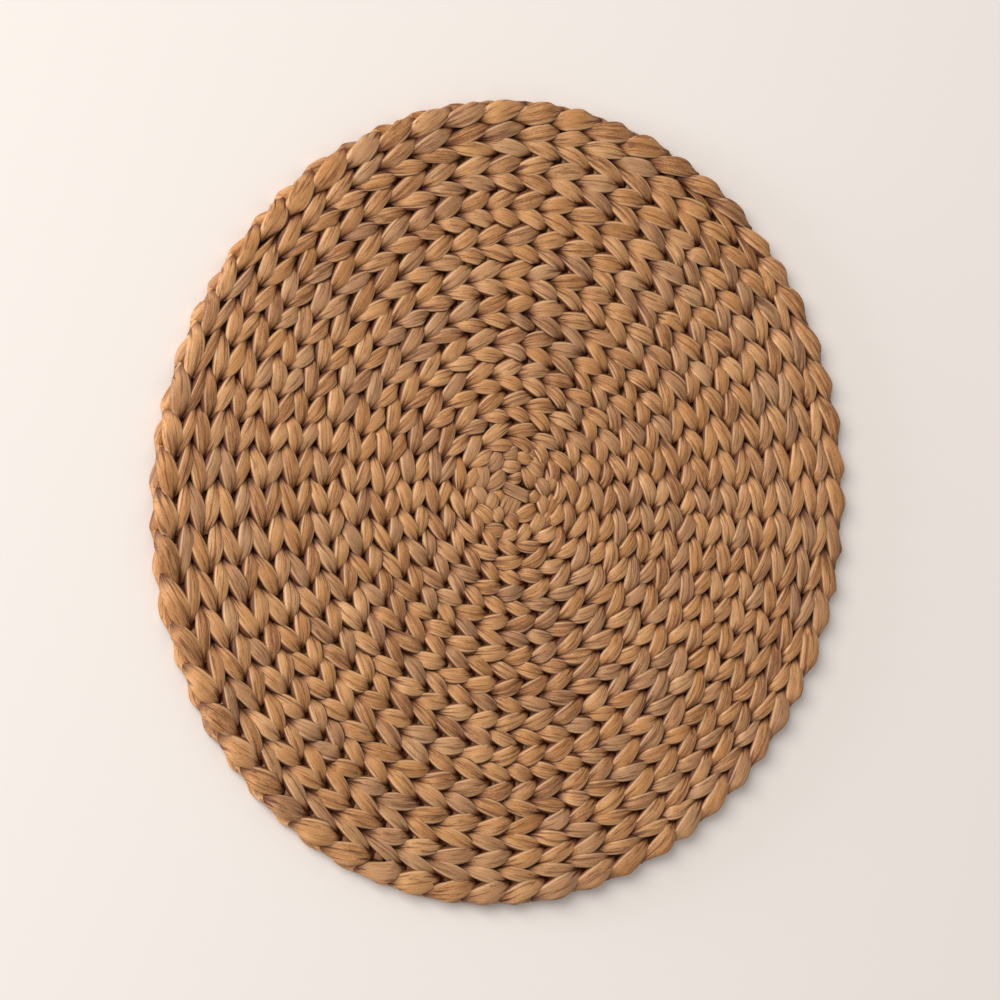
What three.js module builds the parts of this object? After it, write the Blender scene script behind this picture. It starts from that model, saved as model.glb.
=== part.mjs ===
// Round table mat twined from water hyacinth, modelled as one flat woven solid.
// Millimetres, +Z up, lying on its underside, with the origin under the middle.
//
// Pairs of wefts are twined about radial spokes, round after round, from flat strips that
// cross in the middle to a rim row that turns over the edge. A round is two rows of weft that
// lean opposite ways. The rounds run about a point a little off the middle of the mat. Its
// wider side is filled by a short row, just inside the rim row, that pinches out on the other
// side.
import * as THREE from 'three';
import { mergeVertices } from 'three/addons/utils/BufferGeometryUtils.js';

// Driving dimensions
const MAT_RADIUS = 190;
const MAT_THICKNESS = 10.6;
const CROSSING_RADIUS = 9.6;
const ROUNDS_CENTRE = new THREE.Vector2(-0.2, 3.6);
const SECTORS = 40;
const TOLERANCE = 1e-3;

// Width of each round, from the middle outwards. The last is the short row and the rim row.
const ROUNDS = [
  { name: 'first', width: 12.3 },
  { name: 'second', width: 13.2 },
  { name: 'third', width: 14.4 },
  { name: 'fourth', width: 14.7 },
  { name: 'fifth', width: 15.0 },
  { name: 'sixth', width: 15.5 },
  { name: 'seventh', width: 15.8 },
  { name: 'eighth', width: 16.2 },
  { name: 'ninth', width: 16.6 },
  { name: 'tenth', width: 16.1 },
  { name: 'eleventh', width: 15.4 },
  { name: 'last', width: 16.0 },
];

// Relief of the two faces
const TOP_GROOVE = 1.8;          // between two rows
const CREST_SHARE = 0.5;         // of a row's width, about its middle
const UNDERSIDE_GROOVE = 1.2;    // between two rounds, which use has pressed flat
const UNDERSIDE_BEVEL = 1.9;     // from a groove to the flat beside it
const CROSSING_DROP = 0.9;       // the crossed strips lie lower than the rows
const CROSSING_SHOULDER = 1.4;

// Rim and short row, as shares of the last round's width
const SHORT_ROW_SHARE = 0.4;
const PINCHED_SHARE = 0.1;       // what is left of the short row's width where it pinches out
const GAP_MIDDLE = THREE.MathUtils.degToRad(96);
const GAP_HALF_ANGLE = THREE.MathUtils.degToRad(28);
const GAP_FULL_ANGLE = THREE.MathUtils.degToRad(50);

// The rounded edge, from the underside to the upper face
const EDGE_SECTION = [
  { inset: 5.2, height: 0 },
  { inset: 1.4, height: 2.3 },
  { inset: 0, height: 5.6 },
  { inset: 1.4, height: 8.5 },
];

// How far the rounds are from true circles: the oval grows outwards, and the skew is greatest
// half way out and is worked off again towards the rim
const OVAL = -1.9;
const SKEW = -1.65;
const SKEW_SPAN = 200;

// Inner edge of every round, and the outer edge of the last, from the rounds' own centre
const roundEdges = [CROSSING_RADIUS];
for (const round of ROUNDS) {
  roundEdges.push(roundEdges[roundEdges.length - 1] + round.width);
}
const lastRoundInner = roundEdges[ROUNDS.length - 1];
const lastRoundOuter = roundEdges[ROUNDS.length];
const lastRoundWidth = lastRoundOuter - lastRoundInner;
const shortRowOuter = lastRoundInner + lastRoundWidth * SHORT_ROW_SHARE;

// How much of the short row's width is left at an angle: 1 in full, 0 where it pinches out
function shortRowFullness(angle) {
  const turn = 2 * Math.PI;
  const fromGap = Math.abs(THREE.MathUtils.euclideanModulo(angle - GAP_MIDDLE + Math.PI, turn) - Math.PI);
  return THREE.MathUtils.smoothstep(fromGap, GAP_HALF_ANGLE, GAP_FULL_ANGLE);
}

// Where a point of a full round lies, for its radius from the rounds' own centre
function pointOnRound(radius, angle) {
  const oval = OVAL * (radius / MAT_RADIUS) ** 2 * Math.cos(2 * angle);
  const skew = SKEW * Math.sin(Math.PI * radius / SKEW_SPAN) * Math.sin(2 * angle);
  const reach = radius + oval + skew;
  return new THREE.Vector2(Math.cos(angle), Math.sin(angle)).multiplyScalar(reach).add(ROUNDS_CENTRE);
}

// Where a point of the last round lies: between the eleventh round and the mat's own circle
function pointOnLastRound(radius, angle) {
  const along = (radius - lastRoundInner) / lastRoundWidth;
  const pinched = THREE.MathUtils.lerp(PINCHED_SHARE, 1, shortRowFullness(angle));
  const split = SHORT_ROW_SHARE * pinched;
  let share = split * along / SHORT_ROW_SHARE;
  if (along > SHORT_ROW_SHARE) {
    share = split + (1 - split) * (along - SHORT_ROW_SHARE) / (1 - SHORT_ROW_SHARE);
  }
  const rim = new THREE.Vector2(Math.cos(angle), Math.sin(angle)).multiplyScalar(MAT_RADIUS);
  return pointOnRound(lastRoundInner, angle).lerp(rim, share);
}

// A row of the upper face, from the groove outside it to the end of its crest
function rowSection(inner, outer) {
  const middle = (inner + outer) / 2;
  const halfCrest = (outer - inner) * CREST_SHARE / 2;
  return [
    [outer, MAT_THICKNESS - TOP_GROOVE],
    [middle + halfCrest, MAT_THICKNESS],
    [middle - halfCrest, MAT_THICKNESS],
  ];
}

// Section of the mat from the axis along the underside, round the edge and back over the top
function matSection() {
  const section = [[0, 0], [CROSSING_RADIUS - CROSSING_SHOULDER, 0]];
  ROUNDS.forEach((round, i) => {
    section.push([roundEdges[i], UNDERSIDE_GROOVE]);
    section.push([roundEdges[i] + UNDERSIDE_BEVEL, 0]);
    if (i < ROUNDS.length - 1) {
      section.push([roundEdges[i + 1] - UNDERSIDE_BEVEL, 0]);
    }
  });
  for (const step of EDGE_SECTION) {
    section.push([lastRoundOuter - step.inset, step.height]);
  }
  section.push(...rowSection(shortRowOuter, lastRoundOuter).slice(1));
  section.push(...rowSection(lastRoundInner, shortRowOuter));
  for (let i = ROUNDS.length - 2; i >= 0; i--) {
    const middle = roundEdges[i] + ROUNDS[i].width / 2;
    section.push(...rowSection(middle, roundEdges[i + 1]));
    section.push(...rowSection(roundEdges[i], middle));
  }
  section.push([CROSSING_RADIUS, MAT_THICKNESS - TOP_GROOVE]);
  section.push([CROSSING_RADIUS - CROSSING_SHOULDER, MAT_THICKNESS - CROSSING_DROP]);
  section.push([0, MAT_THICKNESS - CROSSING_DROP]);
  return section.map(([radius, height]) => new THREE.Vector2(radius, height));
}

// The section turned about the axis, then drawn to the mat's own centres
function wovenSolid() {
  const turned = new THREE.LatheGeometry(matSection(), SECTORS);
  turned.rotateX(Math.PI / 2);
  turned.deleteAttribute('normal');
  turned.deleteAttribute('uv');
  const geometry = mergeVertices(turned, TOLERANCE);
  const position = geometry.attributes.position;
  for (let i = 0; i < position.count; i++) {
    const x = position.getX(i);
    const y = position.getY(i);
    const radius = Math.hypot(x, y);
    const angle = Math.atan2(y, x);
    const inLastRound = radius > lastRoundInner + TOLERANCE;
    const place = inLastRound ? pointOnLastRound(radius, angle) : pointOnRound(radius, angle);
    let height = position.getZ(i);
    if (inLastRound && radius < shortRowOuter - TOLERANCE && height > MAT_THICKNESS / 2) {
      height -= TOP_GROOVE * (1 - shortRowFullness(angle));
    }
    position.setXYZ(i, place.x, place.y, height);
  }
  geometry.computeVertexNormals();
  return geometry;
}

const hyacinth = new THREE.MeshStandardMaterial({ color: 0xb98a5c, roughness: 0.72, metalness: 0 });
const wovenMat = new THREE.Mesh(wovenSolid(), hyacinth);
wovenMat.name = 'woven_mat';

const placemat = new THREE.Group();
placemat.add(wovenMat);

export default placemat;
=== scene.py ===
# %% [markdown]
# # A round placemat twined from water hyacinth
#
# The real mat is worked from the middle outwards on flat spokes. In each row a pair of dried
# stems twines round the spokes: one passes over a spoke while its partner passes under it, and
# they change places before the next one. Rows lean one way and the other by turns, and two
# neighbours together make the V pattern of a plait. Here every stem is a tube of points laid
# along its row, because a shape that repeats with small differences is easiest to steer as
# arrays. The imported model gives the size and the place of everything.

# %% The frame
import math

import bmesh
import bpy
import numpy as np
from mathutils import Matrix, Vector


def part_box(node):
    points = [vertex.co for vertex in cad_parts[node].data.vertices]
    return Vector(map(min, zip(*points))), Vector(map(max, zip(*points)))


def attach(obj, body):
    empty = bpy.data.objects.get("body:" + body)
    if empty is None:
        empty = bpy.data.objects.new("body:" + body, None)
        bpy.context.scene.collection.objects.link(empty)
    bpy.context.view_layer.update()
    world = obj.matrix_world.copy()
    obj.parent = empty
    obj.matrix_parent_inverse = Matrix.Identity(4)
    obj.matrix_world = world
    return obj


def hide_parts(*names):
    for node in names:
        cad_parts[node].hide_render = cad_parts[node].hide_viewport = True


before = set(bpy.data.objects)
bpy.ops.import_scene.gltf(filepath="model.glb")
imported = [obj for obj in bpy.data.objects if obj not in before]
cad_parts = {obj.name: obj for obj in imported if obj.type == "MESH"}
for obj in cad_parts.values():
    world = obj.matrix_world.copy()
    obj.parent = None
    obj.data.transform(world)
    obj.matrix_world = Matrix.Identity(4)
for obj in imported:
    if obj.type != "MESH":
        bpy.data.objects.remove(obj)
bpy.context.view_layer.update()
MAT = "woven_mat"
MM, CM = 0.001, 0.01
mat_low, mat_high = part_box(MAT)
mat_radius = (mat_high[0] - mat_low[0]) / 2
mat_thickness = mat_high[2] - mat_low[2]
mid_height = mat_thickness / 2
print(f"mat: {2 * mat_radius / MM:.0f} mm across and {mat_thickness / MM:.1f} mm thick")

# %% [markdown]
# ## The camera
#
# The camera is the first thing made, so that each later piece can be judged through it. The mat
# lies on the floor and is seen from its left, about thirty degrees off its face, from a dozen
# radii away through a long lens. That narrows the round to a tall oval with little
# perspective.

# %% Camera
VIEW_TURN = math.radians(31.1)
VIEW_LIFT = math.radians(2.0)
VIEW_DISTANCE = 12.0 * mat_radius
LENS_MM = 173.7
AIM_ACROSS, AIM_UP = 0.0435 * mat_radius, -0.0093 * mat_radius

camera_data = bpy.data.cameras.new("camera")
camera_data.lens = LENS_MM
camera_data.sensor_width = 36.0
camera = bpy.data.objects.new("camera", camera_data)
bpy.context.collection.objects.link(camera)
turned = Matrix.Rotation(-VIEW_TURN, 3, "Y") @ Matrix.Rotation(-VIEW_LIFT, 3, "X")
face_middle = Vector((0, 0, mat_high[2]))
camera_place = face_middle + turned @ Vector((-AIM_ACROSS, -AIM_UP, VIEW_DISTANCE))
camera.matrix_world = Matrix.Translation(camera_place) @ turned.to_4x4()
bpy.context.scene.camera = camera
print(f"camera {VIEW_DISTANCE:.2f} m away, turned {math.degrees(VIEW_TURN):.0f} degrees")

# %% [markdown]
# ## The plan of the rounds
#
# A round is a pair of rows, an inner one that leans inwards as it runs clockwise and an outer one
# that leans outwards. The weaver adds spokes as the mat grows, so the stitches stay nearly the
# same length while their number rises to sixty at the rim. The rounds are laid a little off the
# middle of the finished disc, as handwork drifts, and are slightly oval. The first round is laid
# stem by stem further on, so its stitches only give the spokes their start.

# %% Widths and stitches of the rounds
CROSSING_RADIUS = 9.6 * MM
ROUNDS_CENTRE = np.array([-0.2, 3.6]) * MM
OVAL = -1.9 * MM                            # departure from a circle at the rim
SKEW, SKEW_SPAN = -1.65 * MM, 200 * MM      # most at half the span from the middle
ROUNDS = [
    {"width": 12.3, "stitches": 10},
    {"width": 13.2, "stitches": 14},
    {"width": 14.4, "stitches": 20},
    {"width": 14.7, "stitches": 26},
    {"width": 15.0, "stitches": 32},
    {"width": 15.5, "stitches": 38},
    {"width": 15.8, "stitches": 44},
    {"width": 16.2, "stitches": 50},
    {"width": 16.6, "stitches": 56},
    {"width": 16.1, "stitches": 60},
    {"width": 15.4, "stitches": 60},
    {"width": 16.0, "stitches": 60},
]
round_edges = CROSSING_RADIUS + MM * np.cumsum([0] + [r["width"] for r in ROUNDS])
last_inner = round_edges[-2]
print(f"{len(ROUNDS)} rounds, {sum(r['stitches'] for r in ROUNDS)} spoke crossings")


# %% Lines that the rows follow
def facing(angle):
    """Unit steps away from the middle, at these angles."""
    return np.stack([np.cos(angle), np.sin(angle)], -1)


def on_round(radius, angle):
    """Points on a round: nearly a circle, a little oval and a little skew, as handwork is."""
    oval = OVAL * (radius / mat_radius) ** 2 * np.cos(2 * angle)
    skew = SKEW * np.sin(np.pi * radius / SKEW_SPAN) * np.sin(2 * angle)
    reach = radius + oval + skew
    return reach[..., None] * facing(angle) + ROUNDS_CENTRE


def full_row(inner, outer):
    """A row between two radii: across runs from 0 at its inner side to 1 at its outer side."""
    return lambda across, angle: on_round(inner + (outer - inner) * across, angle)


# %% [markdown]
# ## The last round
#
# The rounds are off the middle but the finished rim is a true circle, so the last round has to
# make up the difference. It does so as the real mat does: the rim row goes all the way round,
# and the row inside it is a short one, which starts and ends beside a gap near the top.

# %% The short row and the rim row
SHORT_ROW_SHARE = 0.4
GAP_MIDDLE, GAP_HALF_ANGLE, GAP_FULL_ANGLE = np.radians([96, 28, 50])
RIM_INSET = 0.5 * MM


def short_row_fullness(angle):
    """0 in the gap of the short row, rising to 1 where the row has its whole width."""
    from_gap = np.abs((angle - GAP_MIDDLE + np.pi) % (2 * np.pi) - np.pi)
    grown = np.clip((from_gap - GAP_HALF_ANGLE) / (GAP_FULL_ANGLE - GAP_HALF_ANGLE), 0, 1)
    return grown * grown * (3 - 2 * grown)


def on_last_round(share, angle):
    """Points between the eleventh round and the rim."""
    inner = on_round(last_inner + 0 * angle, angle)
    outer = (mat_radius - RIM_INSET) * facing(angle)
    return inner + (outer - inner) * share[..., None]


def short_split(angle):
    """The share of the last round that the short row takes."""
    return SHORT_ROW_SHARE * short_row_fullness(angle)


def short_row(across, angle):
    """The line of the short row, for the same two values as a full row."""
    return on_last_round(short_split(angle) * across, angle)


def rim_row(across, angle):
    """The line of the rim row, which takes what the short row leaves."""
    split = short_split(angle)
    return on_last_round(split + (1 - split) * across, angle)


# %% [markdown]
# ## Where the spokes stand
#
# Each round has its own list of spoke directions, as angles on a clock face, in order. Going
# outwards, new spokes are slipped in between old ones, and then all of them shuffle apart until
# they are evenly spread again. The stitches of a round hang on these directions, so the rows
# line up with each other over most of the mat, and fall out of step where spokes were added.

# %% Spoke directions, round by round
SHUFFLES = 8
UNEVEN = 0.05        # how far a spoke strays, as a share of the space between spokes
FULL_TURN = 2 * np.pi
rng = np.random.default_rng(11)


def neighbours(clocks):
    """The direction before and after each spoke, the long way round at the ends."""
    before = np.concatenate([clocks[-1:] - FULL_TURN, clocks[:-1]])
    after = np.concatenate([clocks[1:], clocks[:1] + FULL_TURN])
    return before, after


def spread_spokes():
    """Directions of the spokes in each round, and the way that each spoke takes outwards."""
    first = ROUNDS[0]["stitches"]
    clocks = rng.uniform(0, 1) + FULL_TURN * np.arange(first) / first
    names = np.arange(first)
    rounds, tracks = [], {}
    for k, row in enumerate(ROUNDS):
        count, more = len(clocks), row["stitches"] - len(clocks)
        if more:
            evenly = (np.arange(more) + rng.uniform(0, 1)) * count / more
            places = np.sort(np.floor(evenly).astype(int) % count)
            between = (clocks + neighbours(clocks)[1])[places] / 2
            clocks = np.insert(clocks, places + 1, between)
            names = np.insert(names, places + 1, len(tracks) + np.arange(more))
        for _ in range(SHUFFLES):
            before, after = neighbours(clocks)
            clocks = 0.5 * clocks + 0.25 * (before + after)
        clocks = clocks + rng.normal(0, UNEVEN, len(clocks)) * FULL_TURN / len(clocks)
        rounds.append(clocks)
        for name, clock in zip(names, clocks):
            tracks.setdefault(int(name), {})[k] = clock
    return rounds, tracks


spoke_rounds, spoke_tracks = spread_spokes()
print(f"{len(spoke_tracks)} spokes reach the rim")


# %% Reading a direction between two spokes
def clock_at(clocks, stitch):
    """The direction at a stitch number, smooth from spoke to spoke and on round the mat."""
    count = len(clocks)
    knots = np.concatenate([clocks[-2:] - FULL_TURN, clocks, clocks[:3] + FULL_TURN])
    turns = np.floor(stitch / count)
    inside = stitch - turns * count
    low = np.floor(inside).astype(int)
    f = inside - low
    a, b, c, d = (knots[low + j + 1] for j in range(4))
    curve = 2 * b + (c - a) * f
    curve += (2 * a - 5 * b + 4 * c - d) * f**2 + (3 * b - a - 3 * c + d) * f**3
    return curve / 2 + turns * FULL_TURN


# %% [markdown]
# ## One stem in a twined row
#
# Seen from above, each stitch is a plump grain with two pointed ends. The stem dives at both
# ends under its partner, and its flat width lies slantwise, so that one edge of it starts
# before the other. A rope drawn as a turning ellipse gives wavy grains instead, so the section
# here is sheared: where the stem crosses from top to bottom, its outer edge is a quarter of a
# stitch ahead and its inner edge a quarter behind.
#
# A section is a ring of points. The ring has a crown, the side that faces out, and a belly, the
# fuller side against the spoke. Sizes across the row are shares of the row's width, so the same
# stem fits a narrow row and a wide one.

# %% The section of a stem
CROWN_POINTS, BELLY_POINTS = 11, 5
crown_angles = np.linspace(0, np.pi, CROWN_POINTS)
belly_angles = np.pi + np.linspace(0, np.pi, BELLY_POINTS + 2)[1:-1]
around = np.concatenate([crown_angles, belly_angles])
section_wide, section_thick = np.cos(around), np.sin(around)
print(f"{len(around)} points round a stem")

# %% The way a stem swings over and under
STEPS = 12            # stations for each stitch
REACH = 0.44          # swing across the row, in row widths
HALF_WIDE = 0.63      # half the stem's width where it lies flat, in row widths
TUCK = 0.6            # how far an edge draws in under the grain once it has dived
PLUMP = 0.9           # below 1 the grain stays wide for longer
SHEAR = 0.24          # lead of one edge at the crossing, in stitches
EDGE_DROP = 1.0 * MM  # one edge lies this far below the middle, the other above it
CROWN, BELLY = 1.8 * MM, 2.4 * MM
CROWN_SIDE, BELLY_SIDE = 0.14, 0.33    # how far they lean over at the crossing, in row widths
DWELL = 0.2           # how long it runs along the row before it swings across
STEEP = 0.7           # how suddenly it dives
ROW_LIMIT = 0.64      # the row's neighbours stop it here, in row widths
LIMIT_SHARPNESS = 8


def eased(values, at, sharpness=0.0):
    """Values at whole stitches, eased from one to the next, round and round."""
    low = np.floor(at).astype(int)
    part = at - low
    if sharpness:
        ease = 1 / (1 + np.exp(-sharpness * (part - 0.5)))
    else:
        ease = 0.5 - 0.5 * np.cos(np.pi * part)
    count = len(values)
    return values[low % count] * (1 - ease) + values[(low + 1) % count] * ease


def soft_limit(value, limit):
    """Nearly the value itself, but never beyond the limit on either side."""
    return value / (1 + np.abs(value / limit) ** LIMIT_SHARPNESS) ** (1 / LIMIT_SHARPNESS)


# %% Where the short row begins and ends
THINNEST = 0.3           # the stems' thickness at the row's ends, as a share of the full one
SHORT_START = 0.35       # where the stems start, between no width and full width


def stitch_at(clocks, clock):
    """The stitch number at a direction, the other way round from clock_at."""
    knots = np.concatenate([clocks, clocks[:1] + FULL_TURN])
    inside = (clock - clocks[0]) % FULL_TURN + clocks[0]
    return np.interp(inside, knots, np.arange(len(knots)))


def end_thickness(row, along):
    """How thick the short row's stems are: they thin out towards both ends."""
    fullness = short_row_fullness(np.pi / 2 - clock_at(row["clocks"], along))
    return THINNEST + (1 - THINNEST) * fullness


from_gap = GAP_HALF_ANGLE + SHORT_START * (GAP_FULL_ANGLE - GAP_HALF_ANGLE)
short_first = stitch_at(spoke_rounds[-1], np.pi / 2 - GAP_MIDDLE + from_gap)
short_last = stitch_at(spoke_rounds[-1], np.pi / 2 - GAP_MIDDLE - from_gap)
short_last += ROUNDS[-1]["stitches"] * (short_last < short_first)
print(f"the short row has {short_last - short_first:.0f} stitches")


# %% [markdown]
# ## The fibres of a grain
#
# On the real stem the fibres run from one pointed end of a grain to the other and draw together
# at both. So each grain gets a map of its own: along it from end to end, and across it as a
# share of its width there, which is 1 at the edges. A second map is the same grain in
# centimetres, shifted for each grain so that no two look alike.

# %% Map of the grains
LEAF_SLOPE = 0.60        # row widths crossed in one stitch
LEAF_REACH = 0.77        # from a grain's middle to its end, in stitches
LEAF_HALF_WIDE = 0.60    # in row widths
LEAF_TIP = 0.03          # a grain's width at its ends, as a share of its width in the middle
LEAF_FULLNESS = 0.6      # below 1 a grain stays wide for longer
EDGE_LIMIT = 1.5         # the map goes no further than this past an edge
GRAIN_HALF_CM = 0.42
GRAIN_SHIFT_CM = 7       # from one grain of a stem to the next
FIBRE_SHIFT_CM = 90      # from one stem to another, at most
RIM_OUTSIDE = 0.2        # the rim's outer side begins here, in row widths
RIM_EDGE = 0.6           # it is open to the light, so it has no dark edge


def corners_of(values):
    """The values at the four corners of every square of a closed tube."""
    closed = np.concatenate([values, values[:, :1]], 1)
    return np.stack([closed[:-1, :-1], closed[1:, :-1], closed[1:, 1:], closed[:-1, 1:]], -1)


def grain_maps(along, stitch, across, partner, pitch_cm, shift, at_rim):
    """Both maps of a stem: from end to end and side to side of each grain, and in centimetres."""
    grain = np.round((along[:-1] + along[1:]) / 2)[:, None, None]
    from_middle = corners_of(stitch) - grain
    slope = LEAF_SLOPE * np.where((grain + partner) % 2 == 0, 1, -1)
    outline = np.clip(1 - (from_middle / LEAF_REACH) ** 2, LEAF_TIP, 1) ** LEAF_FULLNESS
    edge = (corners_of(across) - slope * from_middle) / (LEAF_HALF_WIDE * outline)
    edge = np.clip(edge, -EDGE_LIMIT, EDGE_LIMIT)
    along_cm = from_middle * pitch_cm + GRAIN_SHIFT_CM * grain + shift
    fibres = np.stack([along_cm, edge * GRAIN_HALF_CM], -1)
    # the rim's outer side is open to the light, so its edges get no painted shade
    if at_rim:
        edge = np.where(corners_of(across) > RIM_OUTSIDE, np.minimum(edge, RIM_EDGE), edge)
    return np.stack([from_middle / LEAF_REACH, edge], -1), fibres


# %% Tones of the grains
GRAIN_TONE, STEM_TONE = 0.6, 0.4        # what differs by grain, and what differs along the stem
STEM_TONE_STITCHES = 5
GRAIN_CHANGE, STEM_CHANGE = 14, 20      # how suddenly the tones change
RIM_LIT_FROM = 0.4                      # the light reaches the rim from here outwards


def column(values):
    """Values along a stem, ready to meet the ring of its section."""
    return values[:, None]


def depth_inside(height):
    """0 at the mat's two faces, rising to 1 half way between them."""
    return 1 - np.abs(height / mid_height - 1)


def stem_tones(row, along, across, height, draw):
    """Tone and warmth, which change from grain to grain, and the depth inside the mat."""
    count = row["stitches"]
    # the depth drives painted shade in the finish; the rim's outer side, which the light reaches,
    # gets none
    inside = depth_inside(height)
    if row["line"] is rim_row:
        inside = inside * np.clip(2 * (RIM_LIT_FROM - across), 0, 1)
    tone = GRAIN_TONE * eased(draw.uniform(0, 1, count), along, GRAIN_CHANGE)
    slow = eased(draw.uniform(0, 1, count), along / STEM_TONE_STITCHES, STEM_CHANGE)
    warmth = eased(draw.uniform(0, 1, count), along, GRAIN_CHANGE)
    even = 0 * height
    tone, warmth = column(tone + STEM_TONE * slow) + even, column(warmth) + even
    return {"tone": tone, "warmth": warmth, "inside": inside}


# %% Points of one stem
TURN_STRAY, FULLNESS_STRAY, ACROSS_STRAY, LEAD_STRAY = 0.12, 0.08, 0.04, 0.1
END_SINK = 0.6          # thin ends sink below half height by this share of it


def weft(row, partner, draw, stretch=None):
    """One of the two stems of a row, as a grid of points with its fibre map and tones."""
    count = row["stitches"]
    whole = stretch is None
    first, last = (partner + 1, partner + 1 + count) if whole else stretch
    along = np.linspace(first, last, int((last - first) * STEPS) + 1)

    def stray(amount):
        return eased(draw.normal(0, amount, count), along)

    twist = np.pi * (along + partner)
    turn = twist - DWELL * np.sin(2 * twist) + stray(TURN_STRAY)
    up, out = np.tanh(STEEP * np.cos(turn)) / np.tanh(STEEP), np.sin(turn)
    fuller = 1 + stray(FULLNESS_STRAY)
    thinned = np.ones(len(along)) if whole else end_thickness(row, along)
    middle_across = REACH * out + stray(ACROSS_STRAY)
    middle_z = mid_height * (1 - END_SINK * (1 - thinned)) + (mid_height - CROWN) * up * thinned
    lead = -SHEAR * out**2 * (1 + stray(LEAD_STRAY))
    half_wide = HALF_WIDE * np.sign(up) * np.abs(up) ** PLUMP * fuller
    drop = -EDGE_DROP * out * thinned

    wide, thick = section_wide[None, :], section_thick[None, :]
    tucked = 1 - TUCK * column(out**2) * np.sqrt(np.clip(column(up * out) * wide, 0, 1))
    crowned = thick > 0
    side = np.where(crowned, CROWN_SIDE, BELLY_SIDE) * column(out) * thick
    rise = np.where(crowned, CROWN, BELLY) * column(up * fuller * thinned) * thick
    stitch = column(along) + column(lead) * wide * tucked + row["offset"]
    across = column(middle_across) + column(half_wide) * wide * tucked + side
    across = soft_limit(across, ROW_LIMIT)
    height = column(middle_z) + column(drop) * wide + rise
    angle = np.pi / 2 - clock_at(row["clocks"], stitch)
    flat = row["line"](0.5 + row["lean"] * across, angle)
    points = np.concatenate([flat, np.maximum(height, 0)[..., None]], -1)

    stitch = stitch - row["offset"]
    if row["lean"] > 0:
        grids = (points, stitch, across, height)
        points, stitch, across, height = (grid[:, ::-1] for grid in grids)
    pitch_cm = FULL_TURN * row["radius"] / count / CM
    shift, at_rim = draw.uniform(0, FIBRE_SHIFT_CM), row["line"] is rim_row
    grains, fibres = grain_maps(along, stitch, across, partner, pitch_cm, shift, at_rim)
    tones = stem_tones(row, along, across, height, draw)
    if whole:
        points = points[:-1]
        tones = {name: values[:-1] for name, values in tones.items()}
    return dict(points=points, closed=whole, grains=grains, fibres=fibres, tones=tones)


# %% The rows of the mat
INNER_SHARE = 0.48                          # of a round's width
INNER_OFFSET, OUTER_OFFSET = 0.08, -0.04    # in stitches, ahead of the spokes


def row_of(round_index, line, lean, inner, outer, clocks):
    """A row: its line, the way it leans, and the directions of its stitches."""
    offset = INNER_OFFSET if lean < 0 else OUTER_OFFSET
    radius = (inner + outer) / 2
    return dict(round=round_index, line=line, lean=lean, offset=offset, radius=radius,
                clocks=clocks, stitches=len(clocks))


rows = []
for k in range(1, len(ROUNDS) - 1):
    inner, outer = round_edges[k], round_edges[k + 1]
    split = inner + INNER_SHARE * (outer - inner)
    rows.append(row_of(k, full_row(inner, split), -1, inner, split, spoke_rounds[k]))
    rows.append(row_of(k, full_row(split, outer), 1, split, outer, spoke_rounds[k]))
LAST = len(ROUNDS) - 1
rows.append(row_of(LAST, short_row, -1, last_inner, mat_radius, spoke_rounds[LAST]))
rows.append(row_of(LAST, rim_row, 1, last_inner, mat_radius, spoke_rounds[LAST]))
print(f"{len(rows)} rows, {2 * len(rows)} stems")


# %% [markdown]
# ## From grids of points to a mesh
#
# A mesh of a hundred thousand faces is slow to build vertex by vertex. NumPy can number all the
# squares of a grid at once, and Blender takes the finished arrays in one call. The two maps of
# the grains go in as UV maps, and the tones as attributes, for the finish to read.

# %% Mesh from grids
TONES = ("tone", "warmth", "inside")
MAPS = ("grains", "fibres")


def square_corners(grid):
    """Corner numbers of all squares of one grid."""
    stations, sides, _ = grid["points"].shape
    i = np.arange(stations if grid["closed"] else stations - 1)[:, None]
    j = np.arange(sides)[None, :]
    after_i, after_j = (i + 1) % stations, (j + 1) % sides
    corners = [(i, j), (after_i, j), (after_i, after_j), (i, after_j)]
    return np.stack([a * sides + b for a, b in corners], -1).reshape(-1, 4)


def mesh_piece(grids, name):
    """One object made of many tubes."""
    counts = [grid["points"].shape[0] * grid["points"].shape[1] for grid in grids]
    starts = np.cumsum([0] + counts[:-1])
    points = np.concatenate([grid["points"].reshape(-1, 3) for grid in grids])
    faces = np.concatenate([square_corners(grid) + start for grid, start in zip(grids, starts)])
    mesh = bpy.data.meshes.new(name)
    mesh.vertices.add(len(points))
    mesh.vertices.foreach_set("co", points.ravel())
    mesh.loops.add(faces.size)
    mesh.loops.foreach_set("vertex_index", faces.ravel())
    mesh.polygons.add(len(faces))
    mesh.polygons.foreach_set("loop_start", 4 * np.arange(len(faces)))
    mesh.update(calc_edges=True)
    for map_name in MAPS:
        values = np.concatenate([grid[map_name].reshape(-1, 2) for grid in grids])
        mesh.uv_layers.new(name=map_name).data.foreach_set("uv", values.ravel())
    for tone_name in TONES:
        values = np.concatenate([grid["tones"][tone_name].ravel() for grid in grids])
        mesh.attributes.new(tone_name, "FLOAT", "POINT").data.foreach_set("value", values)
    close_ends(mesh)
    piece = bpy.data.objects.new(name, mesh)
    bpy.context.collection.objects.link(piece)
    return piece


def close_ends(mesh):
    """Fills the open ends of the short stems and smooths the shading."""
    shape = bmesh.new()
    shape.from_mesh(mesh)
    open_edges = [edge for edge in shape.edges if edge.is_boundary]
    bmesh.ops.holes_fill(shape, edges=open_edges, sides=0)
    for face in shape.faces:
        face.smooth = True
    shape.to_mesh(mesh)
    shape.free()


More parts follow.
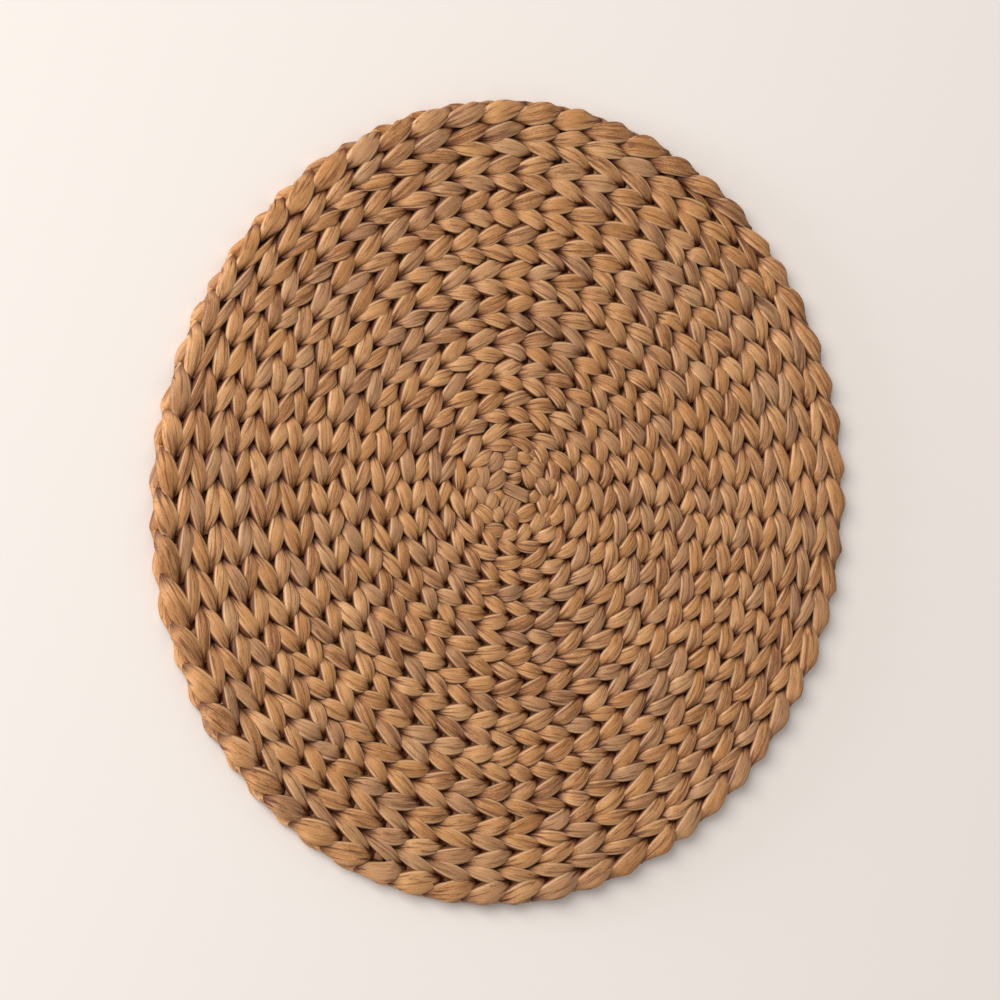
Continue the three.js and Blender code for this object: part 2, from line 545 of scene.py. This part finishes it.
# %% Twine the rounds
SECOND_STEM_LATER = 0.5      # in the short row, in stitches
pieces = []
for k in range(1, len(ROUNDS)):
    grids = []
    for number, row in enumerate(rows):
        if row["round"] != k:
            continue
        draw = np.random.default_rng(100 + number)
        for partner in (0, 1):
            stretch = None
            if row["line"] is short_row:
                stretch = (short_first + SECOND_STEM_LATER * partner, short_last)
            grids.append(weft(row, partner, draw, stretch))
    pieces.append(mesh_piece(grids, f"round_{k + 1:02d}"))
triangles = sum(2 * len(piece.data.polygons) for piece in pieces)
print(f"{len(pieces)} rounds twined, about {triangles} triangles")

# %% [markdown]
# ## The middle
#
# The first spokes cross in the middle as two flat strips, one over the other. The first two
# rows go round them in tight turns, eight stitches and then twelve, and no two of these are
# alike. They were turned by hand on the real mat, so they are placed one by one here, each as one
# short stem: blunt ones for the strips, and pointed ones that dive at both ends for the rows.
# Nine more lie deeper, and fill the gaps behind the second turn.

# %% The first stems, one by one
STRIPS = [                              # across, up, length, width in mm, heading in degrees
    (-1.6, 1.4, 17.5, 11.5, 62),
    (0.2, 5.4, 16.4, 6.6, -22),
]
FIRST_TURN = [
    (0.4, 12.1, 10, 6.4, 5), (7.6, 11.9, 14, 8.2, -68), (10.2, 3.0, 10.5, 6.6, 45),
    (6.2, -4.5, 16, 9, 22), (-1.7, -8.5, 12.5, 8.4, -38), (-9.9, -5.0, 11.5, 7.6, -50),
    (-13.1, 1.5, 12.5, 8, 68), (-10.1, 11.3, 17, 8.6, 35),
]
SECOND_TURN = [
    (-2.3, 17.5, 14.5, 7.2, -10), (11.7, 15.9, 14.5, 7.2, -38), (15, 7.6, 14.5, 7.6, -58),
    (15.1, -0.8, 14.5, 7.2, -68), (12.3, -9.3, 14.5, 8.2, 60), (4.8, -13.8, 14.5, 7.6, 52),
    (-3.2, -14.8, 15, 7.2, 20), (-11.1, -12.4, 16.5, 8, -5), (-17, -4.8, 17, 8.2, -38),
    (-19.6, 4.4, 15.5, 7.8, -62), (-18.5, 12.8, 17, 8.6, 88), (-11.3, 20, 15.5, 8.8, 52),
]
FILLING_STEMS = [
    (-1.9, 23.4, 14, 8.5, 12), (5.7, 21.4, 14, 7, -5), (14.2, 20.8, 16, 8.2, -60),
    (20.2, 11.3, 18, 8, 80), (20.2, -1.2, 17, 7.5, 66), (16.2, -12.4, 16, 7.5, 35),
    (10.5, 25, 15, 8, -30), (19, -7, 12, 7, 60), (-8.6, 4.2, 10, 9, 60),
]
LAID_STATIONS, LAID_SIDES = 17, 20
END_DIVE = 3.6 * MM
LAID_CROWN = 1.7 * MM
LAID_SQUARE, LAID_THINNING = 0.75, 0.4      # of the section, and of its height towards the ends
LAID_SHEAR = 0.25
LAID_MAP = 0.9, 0.98                        # the part of a grain's map that a laid stem takes
POINTED = {"taper": 2.2, "roundness": 0.9, "dive": 1.0}
BLUNT = {"taper": 7.0, "roundness": 0.4, "dive": 0.2}


def laid_stem(spec, ends, sunk, draw):
    """One short stem as a grid of points, sunk below the mat's top by this much.

    Its fibre map spans half the length and a little more than half the width, in centimetres.
    """
    across_mm, up_mm, length, width, heading = spec
    share = np.linspace(-1, 1, LAID_STATIONS)[:, None]
    side = np.linspace(FULL_TURN, 0, LAID_SIDES, endpoint=False)[None, :]
    reach = np.abs(share) ** ends["taper"]
    outline = np.clip(1 - reach, 0.02, 1) ** ends["roundness"]
    ring = np.sign(np.sin(side)) * np.abs(np.sin(side)) ** LAID_SQUARE
    rise = ring * outline**LAID_THINNING * LAID_CROWN
    height = mat_thickness - sunk - LAID_CROWN - END_DIVE * reach * ends["dive"] + rise
    across = MM * width / 2 * outline * np.cos(side)
    along = MM * length / 2 * share + draw.uniform(-LAID_SHEAR, LAID_SHEAR) * across
    turn = math.radians(heading)
    place = MM * np.array([across_mm, up_mm])
    flat = place + along[..., None] * facing(turn) + across[..., None] * facing(turn + np.pi / 2)
    points = np.concatenate([flat, height[..., None]], -1)
    even = 0 * height
    share, edge = corners_of(share + even), corners_of(np.cos(side) + even)
    along_cm = share * length / 20 + draw.uniform(0, FIBRE_SHIFT_CM)
    fibres = np.stack([along_cm, edge * width / 16], -1)
    grains = np.stack([LAID_MAP[0] * share, LAID_MAP[1] * edge], -1)
    tone, warmth = draw.uniform(0.1, 0.9), draw.uniform(0, 1)
    tones = {"tone": tone + even, "warmth": warmth + even, "inside": depth_inside(height)}
    return dict(points=points, closed=False, grains=grains, fibres=fibres, tones=tones)


STRIPS_SUNK, TURNS_SUNK, FILLING_SUNK = (1.4 * MM, 0.2 * MM), 0.6 * MM, 1.4 * MM
draw = np.random.default_rng(5)
crossing = [laid_stem(spec, BLUNT, sunk, draw) for spec, sunk in zip(STRIPS, STRIPS_SUNK)]
pieces.append(mesh_piece(crossing, "crossing"))
first_turns = []
for spec in FIRST_TURN + SECOND_TURN:
    first_turns.append(laid_stem(spec, POINTED, draw.uniform(0, TURNS_SUNK), draw))
for spec in FILLING_STEMS:
    first_turns.append(laid_stem(spec, POINTED, FILLING_SUNK, draw))
pieces.append(mesh_piece(first_turns, "round_01"))
print(f"{len(first_turns)} stems laid round the crossing")

# %% [markdown]
# ## The spokes
#
# The spokes are flat stems that run outwards at half the mat's height. The wefts hide nearly all
# of them, and only small bits show in the notches between the grains. Each is a flat tube that
# follows its own direction from the round where it was slipped in to just inside the rim.

# %% Spokes
SPOKE_SIDES = 8
SPOKE_SHARE = 0.26      # width, as a share of the space between spokes
SPOKE_THICK = 3.0 * MM
SPOKE_STRAY = 0.08      # how much their widths differ
SPOKE_TUCK = 2 * MM     # how far a spoke reaches in under the round before its first
SPOKE_RIM_GAP = 7 * MM
SPOKE_INSIDE = 0.62     # the wefts shade it, so it is as dark as if it lay this deep
STATIONS_A_ROUND = 3


def spoke(track, draw):
    """A spoke as a grid of points, from its first round to the rim."""
    inside, outside = min(track), max(track)
    middles = (round_edges[:-1] + round_edges[1:]) / 2
    start, end = round_edges[inside] - SPOKE_TUCK, mat_radius - SPOKE_RIM_GAP
    radii = np.concatenate([[start], middles[inside:], [end]])
    between = [track[k] for k in range(inside, outside + 1)]
    clocks = np.array([track[inside], *between, track[outside]])
    stations = STATIONS_A_ROUND * (len(radii) - 1) + 1
    radius = np.linspace(radii[0], radii[-1], stations)
    clock = np.interp(radius, radii, clocks)
    pitch = np.interp(radius, middles, FULL_TURN * middles / [r["stitches"] for r in ROUNDS])
    wide = SPOKE_SHARE * pitch * (1 + draw.normal(0, SPOKE_STRAY))
    turn = np.linspace(FULL_TURN, 0, SPOKE_SIDES, endpoint=False)
    angle = np.pi / 2 - clock[:, None] + (wide / 2 / radius)[:, None] * np.cos(turn)
    flat = on_round(radius[:, None] + 0 * turn, angle)
    height = mid_height + SPOKE_THICK / 2 * np.sin(turn) + 0 * angle
    points = np.concatenate([flat, height[..., None]], -1)
    even = 0 * angle
    along_cm = corners_of(radius[:, None] / CM + even) + draw.uniform(0, FIBRE_SHIFT_CM)
    around_spoke = corners_of(np.abs(turn - np.pi) / np.pi + even)
    fibres = np.stack([along_cm, around_spoke], -1)
    grains = np.zeros(fibres.shape)
    tone, warmth = draw.uniform(0.5, 1.0), draw.uniform(0, 0.5)
    tones = {"tone": tone + even, "warmth": warmth + even, "inside": SPOKE_INSIDE + even}
    return dict(points=points, closed=False, grains=grains, fibres=fibres, tones=tones)


draw = np.random.default_rng(7)
spokes = mesh_piece([spoke(track, draw) for track in spoke_tracks.values()], "spokes")
pieces.append(spokes)
print(f"{len(spoke_tracks)} spokes, {2 * len(spokes.data.polygons)} triangles")

# %% [markdown]
# ## Dried water hyacinth
#
# Flattened stems dry to a warm tan with fine lengthwise fibres. The colour wanders from orange to
# grey-brown from one grain to the next, with dark creases between the fibres. A grain is painted
# darker at its ends and edges as painted shade, where it dives under its partner and meets its
# neighbours, and darker the deeper it lies in the mat, also as painted shade; a thin painted
# highlight runs just inside its edges. The fibre map keeps the creases along the stem, and they
# draw together at the pointed ends by themselves. The same fibres drive the bump and the
# roughness.

# %% Helpers for the finish
hyacinth = bpy.data.materials.new("dried_hyacinth")
hyacinth.use_nodes = True
nodes, links = hyacinth.node_tree.nodes, hyacinth.node_tree.links
shader = nodes["Principled BSDF"]


def connect(source, target):
    links.new(source, target)


def value_of(name):
    """A tone that was stored on the mesh, as a value."""
    node = nodes.new("ShaderNodeAttribute")
    node.attribute_name = name
    return node.outputs["Fac"]


def mapped(vector, scale):
    """A vector stretched by a scale for each axis."""
    node = nodes.new("ShaderNodeMapping")
    node.inputs["Scale"].default_value = scale
    connect(vector, node.inputs["Vector"])
    return node.outputs["Vector"]


def noise(vector, scale, detail=3.0, roughness=0.55, wander=0.0):
    node = nodes.new("ShaderNodeTexNoise")
    node.inputs["Scale"].default_value = scale
    node.inputs["Detail"].default_value = detail
    node.inputs["Roughness"].default_value = roughness
    node.inputs["Distortion"].default_value = wander
    connect(vector, node.inputs["Vector"])
    return node.outputs["Fac"]


def remap(value, low, high, to_low=0.0, to_high=1.0):
    """Stretches the part of a value between low and high, with soft ends."""
    node = nodes.new("ShaderNodeMapRange")
    node.interpolation_type = "SMOOTHSTEP"
    numbers = {"From Min": low, "From Max": high, "To Min": to_low, "To Max": to_high}
    for name, number in numbers.items():
        node.inputs[name].default_value = number
    connect(value, node.inputs["Value"])
    return node.outputs["Result"]


def combine(operation, first, second):
    """One sum of two values, each a socket or a number."""
    node = nodes.new("ShaderNodeMath")
    node.operation = operation
    for socket, item in zip(node.inputs, (first, second)):
        if isinstance(item, (int, float)):
            socket.default_value = item
        else:
            connect(item, socket)
    return node.outputs["Value"]


def blend_colours(share, first, second):
    """Goes over from the first colour to the second, a tuple, by a share between 0 and 1."""
    node = nodes.new("ShaderNodeMix")
    node.data_type = "RGBA"
    connect(share, node.inputs["Factor"])
    connect(first, node.inputs[6])
    node.inputs[7].default_value = second
    return node.outputs[2]


def ramp(value, stops):
    """A colour for a value, from stops of place and colour."""
    node = nodes.new("ShaderNodeValToRGB")
    bar = node.color_ramp
    while len(bar.elements) < len(stops):
        bar.elements.new(0.5)
    for element, (place, colour) in zip(bar.elements, stops):
        element.position, element.color = place, (*colour, 1)
    connect(value, node.inputs["Fac"])
    return node.outputs["Color"]


# %% Fibres and streaks
def map_named(name):
    node = nodes.new("ShaderNodeUVMap")
    node.uv_map = name
    return node.outputs["UV"]


def split_vector(vector):
    node = nodes.new("ShaderNodeSeparateXYZ")
    connect(vector, node.inputs[0])
    return node.outputs["X"], node.outputs["Y"]


fibres = map_named("fibres")
broad = noise(mapped(fibres, (0.6, 5.0, 1.0)), 1.0, 3.0)
fine = noise(mapped(fibres, (1.2, 26.0, 1.0)), 1.0, 4.0, 0.65)
mottle = noise(mapped(fibres, (9.0, 22.0, 1.0)), 1.0, 2.0)
creases = remap(noise(mapped(fibres, (0.5, 6.5, 1.0)), 1.0, 3.0, 0.65, 0.3), 0.38, 0.48)
flecks = remap(noise(mapped(fibres, (4.0, 14.0, 1.0)), 1.0, 2.0), 0.26, 0.34)
along_grain, across_grain = split_vector(map_named("grains"))
from_middle = combine("ABSOLUTE", along_grain, 0.0)
to_edge = combine("ABSOLUTE", across_grain, 0.0)

# %% Colour
DEEP_TAN = (0.19, 0.066, 0.017)
MID_TAN = (0.46, 0.208, 0.074)
PALE_TAN = (0.655, 0.368, 0.165)
ORANGE, ASH = (0.50, 0.225, 0.066, 1), (0.34, 0.195, 0.108, 1)
# SEAM darkens the creases and flecks, and is also painted shade at the grains' edges; DARK_END is
# painted shade at their ends and deep in the mat
DARK_END = (0.085, 0.019, 0.003, 1)
SEAM = (0.10, 0.024, 0.004, 1)
PAINTED_EDGE_HIGHLIGHT = (0.66, 0.43, 0.24, 1)
BROAD_SHARE, TONE_SHARE, FINE_SHARE, MOTTLE_SHARE = 0.7, 0.42, 1.15, 0.5


def times(value, factor):
    return combine("MULTIPLY", value, factor)


def plus(first, second):
    return combine("ADD", first, second)


lightness = plus(times(broad, BROAD_SHARE), times(value_of("tone"), TONE_SHARE))
lightness = plus(lightness, times(combine("SUBTRACT", fine, 0.5), FINE_SHARE))
lightness = plus(lightness, times(combine("SUBTRACT", mottle, 0.5), MOTTLE_SHARE))
colour = ramp(lightness, [(0.25, DEEP_TAN), (0.55, MID_TAN), (0.92, PALE_TAN)])
warmth = value_of("warmth")
colour = blend_colours(remap(warmth, 0.5, 1.0, 0.0, 0.45), colour, ORANGE)
colour = blend_colours(remap(warmth, 0.5, 0.0, 0.0, 0.45), colour, ASH)
near_ends = remap(from_middle, 0.15, 0.75, 0.5, 1.0)
deeper = times(remap(creases, 0.0, 1.0, 1.0, 0.0), near_ends)
colour = blend_colours(deeper, colour, SEAM)
colour = blend_colours(remap(flecks, 0.0, 1.0, 0.5, 0.0), colour, SEAM)
# painted highlight: a light band just inside each grain's edge, where the edge would catch the
# light
painted_edge_highlight = times(remap(to_edge, 0.60, 0.72), remap(to_edge, 0.86, 0.77))
colour = blend_colours(times(painted_edge_highlight, 0.5), colour, PAINTED_EDGE_HIGHLIGHT)
# painted shade: each grain darkens to SEAM at its outline, where its neighbours shade it
colour = blend_colours(remap(to_edge, 0.79, 0.94, 0.0, 0.97), colour, SEAM)
# painted shade: each grain darkens to DARK_END towards its ends, where it dives under its partner
colour = blend_colours(remap(from_middle, 0.50, 0.96, 0.0, 0.95), colour, DARK_END)
# painted shade: the deeper a point lies inside the mat, the darker it is painted, as the gaps
# between the stems are shaded
colour = blend_colours(remap(value_of("inside"), 0.43, 0.85, 0.0, 0.97), colour, DARK_END)
connect(colour, shader.inputs["Base Color"])

# %% Roughness and bump
connect(remap(fine, 0.3, 0.7, 0.5, 0.72), shader.inputs["Roughness"])
relief = plus(times(broad, 0.6), times(fine, 0.35))
relief = plus(relief, times(creases, 0.35))
bump = nodes.new("ShaderNodeBump")
bump.inputs["Strength"].default_value = 0.8
bump.inputs["Distance"].default_value = 0.5 * MM
connect(relief, bump.inputs["Height"])
connect(bump.outputs["Normal"], shader.inputs["Normal"])
for piece in pieces:
    piece.data.materials.append(hyacinth)
print(f"{len(nodes)} nodes in the finish")

# %% [markdown]
# ## Floor and light
#
# The mat lies on a plain pale floor. One large soft lamp high on the left gives the grains their
# light and dark sides, a small one near the floor catches the rim on that side, and an even pale
# sky fills the shadows. Where the camera sees past the floor, the sky is as pale as the floor is.

# %% Floor
FLOOR_SIZE = 6.0
FLOOR_COLOUR = (0.865, 0.812, 0.777, 1)
FLOOR_ROUGHNESS = 0.9
floor_shape = bmesh.new()
bmesh.ops.create_grid(floor_shape, x_segments=1, y_segments=1, size=FLOOR_SIZE)
floor_mesh = bpy.data.meshes.new("floor")
floor_shape.to_mesh(floor_mesh)
floor_shape.free()
floor = bpy.data.objects.new("floor", floor_mesh)
bpy.context.collection.objects.link(floor)
floor_paint = bpy.data.materials.new("pale_floor")
floor_paint.use_nodes = True
floor_shader = floor_paint.node_tree.nodes["Principled BSDF"]
floor_shader.inputs["Base Color"].default_value = FLOOR_COLOUR
floor_shader.inputs["Roughness"].default_value = FLOOR_ROUGHNESS
floor_mesh.materials.append(floor_paint)

# %% Light
SKY_COLOUR = (1, 0.97, 0.94, 1)
SKY_STRENGTH, SEEN_SKY_STRENGTH = 0.42, 0.85
world = bpy.data.worlds.new("world")
bpy.context.scene.world = world
world.use_nodes = True
world_nodes, world_links = world.node_tree.nodes, world.node_tree.links
background = world_nodes["Background"]
background.inputs["Color"].default_value = SKY_COLOUR
ray = world_nodes.new("ShaderNodeLightPath")
sky = world_nodes.new("ShaderNodeMapRange")
sky.inputs["To Min"].default_value = SKY_STRENGTH
sky.inputs["To Max"].default_value = SEEN_SKY_STRENGTH
world_links.new(ray.outputs["Is Camera Ray"], sky.inputs["Value"])
world_links.new(sky.outputs["Result"], background.inputs["Strength"])


def area_lamp(name, place, size, power, colour):
    """A square lamp that faces the middle of the mat."""
    lamp = bpy.data.lights.new(name, "AREA")
    lamp.energy, lamp.size, lamp.color = power, size, colour
    holder = bpy.data.objects.new(name, lamp)
    bpy.context.collection.objects.link(holder)
    holder.location = place
    holder.rotation_euler = (-Vector(place)).to_track_quat("-Z", "Y").to_euler()


area_lamp("key", (-3.0, 1.6, 2.8), 2.4, 176, (1, 0.972, 0.935))
area_lamp("low", (-2.6, 0.5, 0.36), 0.6, 38, (0.88, 0.95, 1))
bpy.context.scene.view_settings.view_transform = "Standard"

# %% [markdown]
# ## Into the frame
#
# Every piece rides on the one body, takes the water hyacinth finish, and stands for the plain
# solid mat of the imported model.

# %% Pieces into the frame
for piece in pieces:
    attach(piece, "root")
    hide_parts(MAT)
